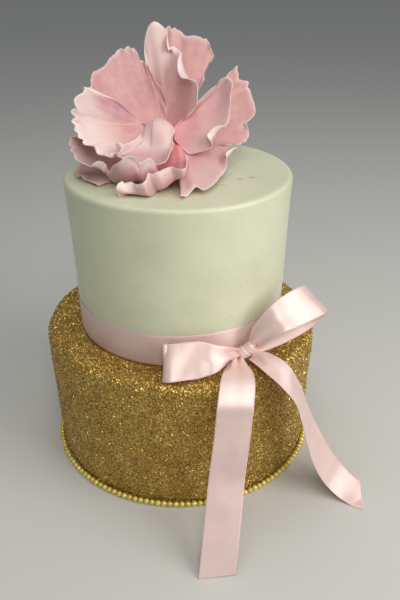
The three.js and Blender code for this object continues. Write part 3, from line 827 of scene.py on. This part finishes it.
# Points are in millimetres from flowerCentre. claw is the petal's narrow root, clawHalf wide to each
# side, and rim is evenly spread points of its rim, from left to right as seen from its inside face.
# low and high push the surface outwards near the root and near the rim, sag does so along directions
# of its own, flare rounds the two sides, and edge folds them in from a share of the half width on.
# frill is how deep and how many its scallops are; each of curls rolls the rim in at a place: where
# (0 left, 1 right), how far to each side, by how many degrees and over what length. Each of hills is
# a swelling: where along the rim, how far out, how far both ways and how high. creases is how deep
# the fine folds near the root are, blush how deep the pink is there and light how pale the petal is
# farther out, from paleFrom on; that paleness is partly painted light, paler where a petal faces the
# lamps and lifted where it lies in shade. Each dusky patch is painted dusky pink: mostly painted
# shade, where a petal lies in its own shade or in the shadow of its rim, and on petal_back_left a
# darker tone; for each, where along the rim, how far out, how far both ways and how strong.
petals = {
    "petal_back_left": {
        "claw": (-5, 7, 29), "clawHalf": 6, "low": 5, "high": 5, "flare": (7, 3),
        "rim": ((-48, -1, 52), (-51, 7, 59), (-46, 16, 66), (-38, 24, 72), (-34, 29, 76), (-27, 33, 78.5),
                (-20.5, 35, 77), (-17, 35, 70), (-11, 32, 66), (-7, 27, 57), (0, 19, 46)),
        "frill": (1.8, 10), "ruffle": 0.25, "roll": 4, "blush": 0.05, "light": 0.0,
        "duskyTintAndShade": ((0.4, 0.6, 0.7, 0.6, 0.35),),
    },
    # painted paler farther out as painted light, and its right part painted dusky pink as painted shadow of
    # its curled rim
    "petal_back_middle": {
        "claw": (2, 13, 27), "clawHalf": 6, "low": 4, "high": 4, "flare": (1, 3),
        "rim": ((-11, 28, 49), (-14, 38, 70), (-13, 44, 85), (-7, 46, 94), (1, 47, 89), (4, 45, 83),
                (10, 39, 76), (17, 28, 70), (23, 13, 60), (23, 1, 46)),
        "frill": (0.9, 6), "ruffle": 0.3, "curls": ((0.58, 0.06, 160, 10), (0.8, 0.1, 160, 11)),
        "blush": 0.05, "light": 0.75, "duskyTintAndShade": ((0.9, 0.6, 0.3, 0.55, 0.3),),
    },
    "petal_back_tall": {
        "claw": (4, 16, 26), "clawHalf": 6, "low": 4, "high": 4, "flare": (2, 3), "roll": 4,
        "rim": ((-7, 56, 67), (-1, 59, 83), (6, 61, 89), (14, 61, 84), (21, 60, 83), (30, 59, 81),
                (35, 55, 72), (30, 50, 62), (29, 43, 54), (20, 33, 43)),
        "frill": (2.2, 9), "ruffle": 0.12, "blush": 0.1, "light": 0.0,
    },
    "petal_right_outer": {
        "claw": (12, 8, 20), "clawHalf": 4, "low": 4, "high": 5, "flare": (2, 2),
        "rim": ((40, 30, 52), (52, 38, 64), (55, 39, 55), (61, 38, 53), (63, 37, 46), (66, 34, 32),
                (62, 31, 25), (62, 27, 15), (54, 20, 12), (35, 10, 14)),
        "frill": (2.0, 10), "ruffle": 0.25, "curls": ((0.66, 0.06, 110, 5),), "roll": 3,
        "blush": 0.15, "light": 0.0,
    },
    # a patch painted dusky pink: painted shade under its rolled rim
    "petal_right_inner": {
        "claw": (6, 0, 26), "clawHalf": 4, "low": 4, "high": 8, "flare": (3, 3),
        "rim": ((22, 10, 42), (34, 18, 52), (47, 18, 61), (47, 9, 49), (45, 0, 38), (41, -8, 29),
                (33, -13, 19), (20, -14, 15)),
        "frill": (0.8, 6), "ruffle": 0.3, "curls": ((0.26, 0.07, 120, 8), (0.76, 0.09, 160, 8)),
        "blush": 0.3, "light": 0.6, "duskyTintAndShade": ((0.35, 0.7, 0.3, 0.3, 0.5),),
    },
    "petal_front_right": {
        "claw": (10, 1, 14), "clawHalf": 4, "low": -3, "high": -3, "flare": (2, 3),
        "rim": ((35, 13, 12), (52, 9, 10), (46, -6, 4), (36, -36, 3), (26, -56, 3), (20, -55, 5),
                (14, -61, 3), (10, -66, 2), (10, -52, 4), (12, -34, 7)),
        "frill": (1.1, 6), "curls": ((0.2, 0.1, 150, 9),), "blush": 0.3, "light": 0.4,
    },
    # a band near the rim painted dusky pink: painted shade on its outer face
    "petal_front_bowl": {
        "claw": (5, -2, 19), "clawHalf": 4, "low": 0, "high": 0, "flare": (5, 3),
        "sag": ((0, -9, -12), (1, -32, -24)),
        "rim": ((16, -28, 19), (13, -53, 17), (4, -50, 17), (-4, -56, 15), (-11, -55, 14), (-14, -61, 10),
                (-23, -59, 8), (-31, -61, 7), (-30, -59, 1)),
        "frill": (0.6, 4), "ruffle": 0.3, "curls": ((0.8, 0.1, 90, 7),), "blush": 1.0, "light": 0.4,
        "duskyTintAndShade": ((0.45, 0.8, 0.3, 0.12, 0.4),),
    },
    "petal_left_under": {
        "claw": (-9, -6, 10), "clawHalf": 3, "low": 2, "high": 2, "flare": (2, 2),
        "rim": ((-25, -38, 2), (-37, -32, 2), (-46, -37, 1), (-56, -26, 1), (-63, -15, 2),
                (-64, -3, 4), (-60, 10, 6)),
        "frill": (1.3, 7), "blush": 0.2, "light": 0.2,
    },
    # painted paler as painted light, lifting its inside, which lies in shade
    "petal_left_cup": {
        "claw": (-10, -3, 14), "clawHalf": 3, "low": 6, "high": 10, "flare": (4, 4),
        "rim": ((-35, -35, 8), (-44, -41, 12), (-50, -38, 14), (-58, -36, 17), (-63, -25, 22), (-65, -14, 27),
                (-55, -18, 31)),
        "frill": (1.2, 6), "curls": ((0.2, 0.12, 140, 8),), "blush": 0.1, "light": 0.8,
    },
    # a band near the rim painted dusky pink: painted shade on its outer face
    "petal_front_lip": {
        "claw": (-7, -7, 12), "clawHalf": 4, "low": 0, "high": 0, "flare": (4, 3),
        "sag": ((0, -8, -12), (-2, -24, -23)),
        "rim": ((-7, -42, 13), (-8, -43, 18), (-11, -46, 22), (-15, -48, 20), (-18, -48, 22), (-22, -48, 26),
                (-26, -48, 24), (-30, -47, 20), (-35, -44, 15), (-39, -40, 9)),
        "frill": (0.7, 5), "ruffle": 0.2, "curls": ((0.2, 0.2, -50, 5), (0.6, 0.25, -80, 6)),
        "blush": 0.9, "light": 0.1, "duskyTintAndShade": ((0.4, 0.74, 0.4, 0.2, 0.4),),
    },
    # the dome is painted pale as a painted highlight, and the bowl below it dusky pink as painted shade
    "petal_centre": {
        "claw": (-4, 6, 26), "clawHalf": 10, "low": 0, "high": 0, "flare": (1, -13),
        "sag": ((1, -2, 23), (2, 2, -6)),
        "rim": ((4, -32, 25), (2, -38, 20), (-3, -42, 17), (-10, -41, 16), (-18, -39, 17), (-27, -40, 19),
                (-33, -41, 21), (-36, -37, 27)),
        "frill": (0.8, 5), "ruffle": 0.3, "curls": ((0.95, 0.12, 140, 8),),
        "hills": ((0.42, 0.36, 0.5, 0.3, 7),), "blush": 0.0, "light": 0.9, "paleFrom": -0.1,
        "duskyTintAndShade": ((0.5, 0.9, 0.7, 0.28, 0.8),),
    },
    # painted pale as painted light on its lit face, and the band under its folded upper edge painted dusky
    # pink as painted shade
    "petal_left_large": {
        "claw": (-14, -12, 33), "clawHalf": 6, "low": 6, "high": 10, "flare": (4, 4),
        "edge": (0, 0, 0.35, 14),
        "rim": ((-30, -38, 24), (-38, -41, 22), (-44, -40, 23), (-48, -39, 26), (-53, -36, 32),
                (-57, -33, 39), (-59, -30, 47), (-59, -27, 53), (-57, -21, 56), (-52, -14, 50)),
        "frill": (1.9, 10), "ruffle": 0.4, "curls": ((0.3, 0.08, 70, 6),), "creases": 0.3,
        "blush": 0.1, "light": 1.2, "duskyTintAndShade": ((0.93, 0.45, 0.13, 0.5, 1.0), (0.75, 0.75, 0.15, 0.2, 0.25)),
    },
}


def pasteLook():
    look = newLook("petal paste", Roughness=0.42, Subsurface_Weight=0.15, Subsurface_Scale=1.0,
                   Subsurface_Radius=(0.005, 0.0025, 0.002), Sheen_Weight=0.1, Sheen_Roughness=0.4)
    onPetal = addNode(look, "UVMap", uv_map=surfaceMap).outputs["UV"]
    blush, paleAndLit, duskyTintAndShade = (ownValue(look, name) for name in ("blush", "paleAndLit", "duskyTintAndShade"))
    where = objectPlace(look)
    veins = grain(look, stretched(look, onPetal, (26.0, 1.1, 1.0)), 1.0, 3.0, 0.6)
    cloudy = grain(look, where, 45.0, 2.0)
    mottled = grain(look, where, 190.0, 4.0)
    base = blendColour(look, spread(look, cloudy, 0.3, 0.7), colour(196, 140, 143), colour(212, 157, 155))
    base = blendColour(look, blush, base, colour(250, 150, 158))
    # paler farther out and at the rim: the rim's pale is the paste's own colour, the rest partly painted
    # light, with a painted highlight on the curls
    base = blendColour(look, paleAndLit, base, colour(246, 226, 222))
    # dusky pink patches: mostly painted shade, and a darker tone on petal_back_left
    base = blendColour(look, duskyTintAndShade, base, colour(190, 136, 148))
    base = dab(look, base, mottled, 0.4, 0.75, 0.3, colour(230, 188, 178))
    base = dab(look, base, veins, 0.45, 0.75, 0.1, colour(236, 196, 186))
    attach(look, "Base Color", base)
    attach(look, "Roughness", spread(look, mottled, 0.3, 0.7, 0.36, 0.5))
    under = addBump(look, veins, 0.05 * mm, 0.5)
    attach(look, "Normal", addBump(look, mottled, 0.08 * mm, 0.4, under))
    return look


# Rolls the outer part of a petal's ribs round an arc. turn is the whole angle and length the rolled
# length of each rib, from its rim inwards.
def rollRim(grid, inward, turn, length):
    steps = np.linalg.norm(np.diff(grid, axis=1), axis=-1)
    reach = np.concatenate([np.zeros((len(grid), 1)), np.cumsum(steps, axis=1)], 1)
    share = np.clip(1 - (reach[:, -1:] - reach) / length, 0, 1)
    ribs = np.arange(len(grid))
    start = np.argmax(share > 0, axis=1)
    heading = unit(grid[ribs, start] - grid[ribs, start - 1])[:, None]
    toward = inward[ribs, start][:, None]
    turn = np.where(np.abs(turn) < 1e-3, 1e-3, turn)  # never 0, which would divide by it
    along = length * (np.sin(turn * share) / turn - share)
    lift = length * (1 - np.cos(turn * share)) / turn
    return grid + heading * along[..., None] + toward * lift[..., None]


# The rim's scallops: where they are on the way round, how strong each is, and how far it stands out
def scallops(petal, u, seed):
    count = petal["frill"][1]
    warp = u + 0.08 * wander(u, seed + 20, 3, 0.6, 1.8)
    uneven = np.clip(1 + 0.6 * wander(u, seed + 40, 3, 1.0, 3.0), 0.1, 2)
    scallop = np.abs(np.sin(math.pi * (count * warp + 0.37 * seed))) - petalPaste["notch"]
    scallop = scallop + 0.3 * np.abs(np.sin(math.pi * (2.3 * count * warp + seed)))
    return warp, uneven, scallop


# The plain petal: ribs from its root to its scalloped rim, and the directions to its inside
def petalSheet(petal, t, u, r, uneven, scallop):
    claw, ends = np.array(petal["claw"], float), np.array(petal["rim"], float)
    inside = unit(np.cross(ends[-1] - claw, ends[0] - claw))
    side = unit(ends[-1] - ends[0])
    sagLow, sagHigh = (np.array(v, float) for v in petal.get("sag", ((0, 0, 0), (0, 0, 0))))
    flare = t * np.where(t < 0, *petal["flare"])
    hollow = 1 - 0.6 * t * t  # the middle is pushed farther than the sides
    rim = curveThrough(ends, u[:, 0])
    root = claw + side * t * petal["clawHalf"]
    chord = rim - root
    first = root + chord / 3 - inside * petal["low"] * hollow + side * 0.7 * flare + sagLow * hollow
    second = root + 2 * chord / 3 - inside * petal["high"] * hollow + side * flare + sagHigh * hollow
    rim = rim + unit(rim - second) * petal["frill"][0] * uneven * scallop
    root, first, second, rim = (v[:, None, :] for v in (root, first, second, rim))
    r = r[..., None]
    grid = root * (1 - r) ** 3 + first * 3 * r * (1 - r) ** 2 + second * 3 * r * r * (1 - r) + rim * r ** 3
    normal = gridNormals(grid)
    if np.sum(normal * inside) < 0:
        normal = -normal
    return grid, normal


def inPatch(u, r, place, out, halfAcross, halfAlong):  # 1 in the middle of a patch, 0 at its edge
    return 1 - (((u - place) / halfAcross) ** 2 + ((r - out) / halfAlong) ** 2)


# How far the surface is pushed towards its inside
def petalPush(petal, t, u, r, warp, uneven, seed):
    leftStart, leftFold, rightStart, rightFold = petal.get("edge", (0, 0, 0, 0))
    push = (leftFold * np.clip((-t - leftStart) / (1 - leftStart), 0, 1) ** 2
            + rightFold * np.clip((t - rightStart) / (1 - rightStart), 0, 1) ** 2) * r ** 0.7
    depth, count = petal["frill"]
    ruffle = np.sin(2 * math.pi * (count * warp + 0.37 * seed) + 1.5 * r) * ramp(r, 0.62, 1.0) ** 1.5
    push = push + petal.get("ruffle", petalPaste["ruffle"]) * depth * uneven * ruffle
    swell = np.sin(4.2 * u + 3.1 * r + seed) * np.sin(2.3 * u - 4.4 * r + 2 * seed)
    push = push + petalPaste["swell"] * swell * ramp(r, 0.1, 0.5)
    sideWaves = wander(r * 0.6, seed + 60, 3, 1.0, 3.0)
    push = push + petalPaste["sideWave"] * sideWaves * ramp(np.abs(t), 0.75, 1.0) * ramp(r, 0.2, 0.5)
    crease = petalPaste["creaseCount"] * u + 0.8 * wander(u, seed + 90, 3, 1.0, 3.0)
    crease = np.abs(np.sin(math.pi * crease))
    push = push + petal.get("creases", 0) * crease * ramp(r, 0.03, 0.12) * (1 - ramp(r, 0.2, 0.5))
    for *patch, height in petal.get("hills", ()):
        push = push + height * np.clip(inPatch(u, r, *patch), 0, 1) ** 2
    return push


# Rolls the rim a little all the way and strongly at the curls, and says where those are
def curlRim(petal, grid, normal, u, seed):
    turn = petalPaste["rollTurn"] * petal["frill"][0] * wander(u, seed + 80, 4, 1.0, 3.5)
    roll = petal.get("roll", petalPaste["roll"])
    curled = 0.0
    for place, half, degrees, length in petal.get("curls", ()):
        near = np.clip(1 - ((u - place) / half) ** 2, 0, 1)
        turn = turn + (degrees - turn) * near
        roll = roll + (length - roll) * near
        curled = curled + near
    return rollRim(grid, normal, np.radians(turn), roll), curled


# How pink, how pale and how dusky each point is; part of the paleness is painted light and most of the dusky
# pink is painted shade
def petalTints(petal, t, u, r, curled):
    blush = petal["blush"] * (1 - ramp(r, 0.1, 0.75))
    edge = np.maximum(ramp(r, 0.93, 1.0), ramp(np.abs(t), 0.95, 1.0) * ramp(r, 0.3, 0.6))
    paleFrom = petal.get("paleFrom", petalPaste["paleFrom"])
    # partly painted light: paler where a petal faces the lamps, and lifted where it lies in shade
    paleAndLit = petal["light"] * 0.6 * ramp(r, paleFrom, paleFrom + 0.6)
    # the pale rim is the paste's own colour; the curls painted paler are a painted highlight
    paleAndLit = np.clip(paleAndLit + 0.4 * edge + 0.6 * curled * ramp(r, 0.82, 0.95), 0, 1)
    # dusky pink patches: mostly painted shade, and a darker tone on petal_back_left
    duskyTintAndShade = 0.0
    for *patch, strength in petal.get("duskyTintAndShade", ()):
        duskyTintAndShade = np.maximum(duskyTintAndShade, strength * ramp(inPatch(u, r, *patch), 0, 1))
    return {"blush": blush, "paleAndLit": paleAndLit, "duskyTintAndShade": duskyTintAndShade * (1 - edge)}


# Across the petal t runs from -1 to 1 and u from 0 to 1; r runs from 0 at the root to 1 at the rim
def petalSurface(petal, seed):
    s = petalPaste
    t = np.linspace(-1, 1, s["across"])[:, None]
    u = (t + 1) / 2
    r = np.linspace(0, 1, s["along"])[None, :] ** 0.85  # closer together towards the rim
    warp, uneven, scallop = scallops(petal, u, seed)
    grid, normal = petalSheet(petal, t, u, r, uneven, scallop)
    grid = grid + normal * petalPush(petal, t, u, r, warp, uneven, seed)[..., None]
    grid, curled = curlRim(petal, grid, normal, u, seed)
    grid[..., 2] = np.maximum(grid[..., 2], s["rim"] / 2 + s["clear"])
    thickness = s["foot"] + (s["rim"] - s["foot"]) * ramp(r, 0.0, 0.9)
    return (grid + flowerCentre) * mm, thickness * mm, gridOf(u, r), petalTints(petal, t, u, r, curled)


def makePetals(look):
    for seed, (name, petal) in enumerate(petals.items()):
        grid, thickness, uv, attributes = petalSurface(petal, seed)
        obj = makeShell("paste_" + name, grid, thickness, uv, look, attributes=attributes)
        finishPiece(obj, "petal_paste", name)


# The mound of paste that the petals are stuck to, with its radii from the bottom up in millimetres
stub = {"rings": 24, "around": 40, "radii": (19.0, 17.0, 14.5, 12.0, 9.0, 4.0), "waves": 0.05, "blush": 0.2}


def makeStub(look):
    s = stub
    low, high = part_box("flower_stub")
    middle = (low + high) / 2
    turn = onceRound(s["around"])
    rise = np.linspace(0, 1, s["rings"])[:, None]
    radius = curveThrough(s["radii"], rise) * (1 + s["waves"] * np.sin(3 * turn + 9 * rise)) * mm
    height = low.z + rise * (high.z - low.z)
    points = turnedPoints(radius, height, turn, low.z, high.z, (middle.x, middle.y))
    faces = turnedFaces(s["rings"], s["around"])
    rootUv = np.tile([0.5, 0.1], (faces.size, 1))
    blush = np.full(len(points), s["blush"])
    obj = makeMesh("paste_stub", points, faces, look, uv=rootUv, attributes={"blush": blush})
    finishPiece(obj, "petal_paste", "flower_stub")


paste = pasteLook()
makePetals(paste)
makeStub(paste)
print("the flower is set on top")
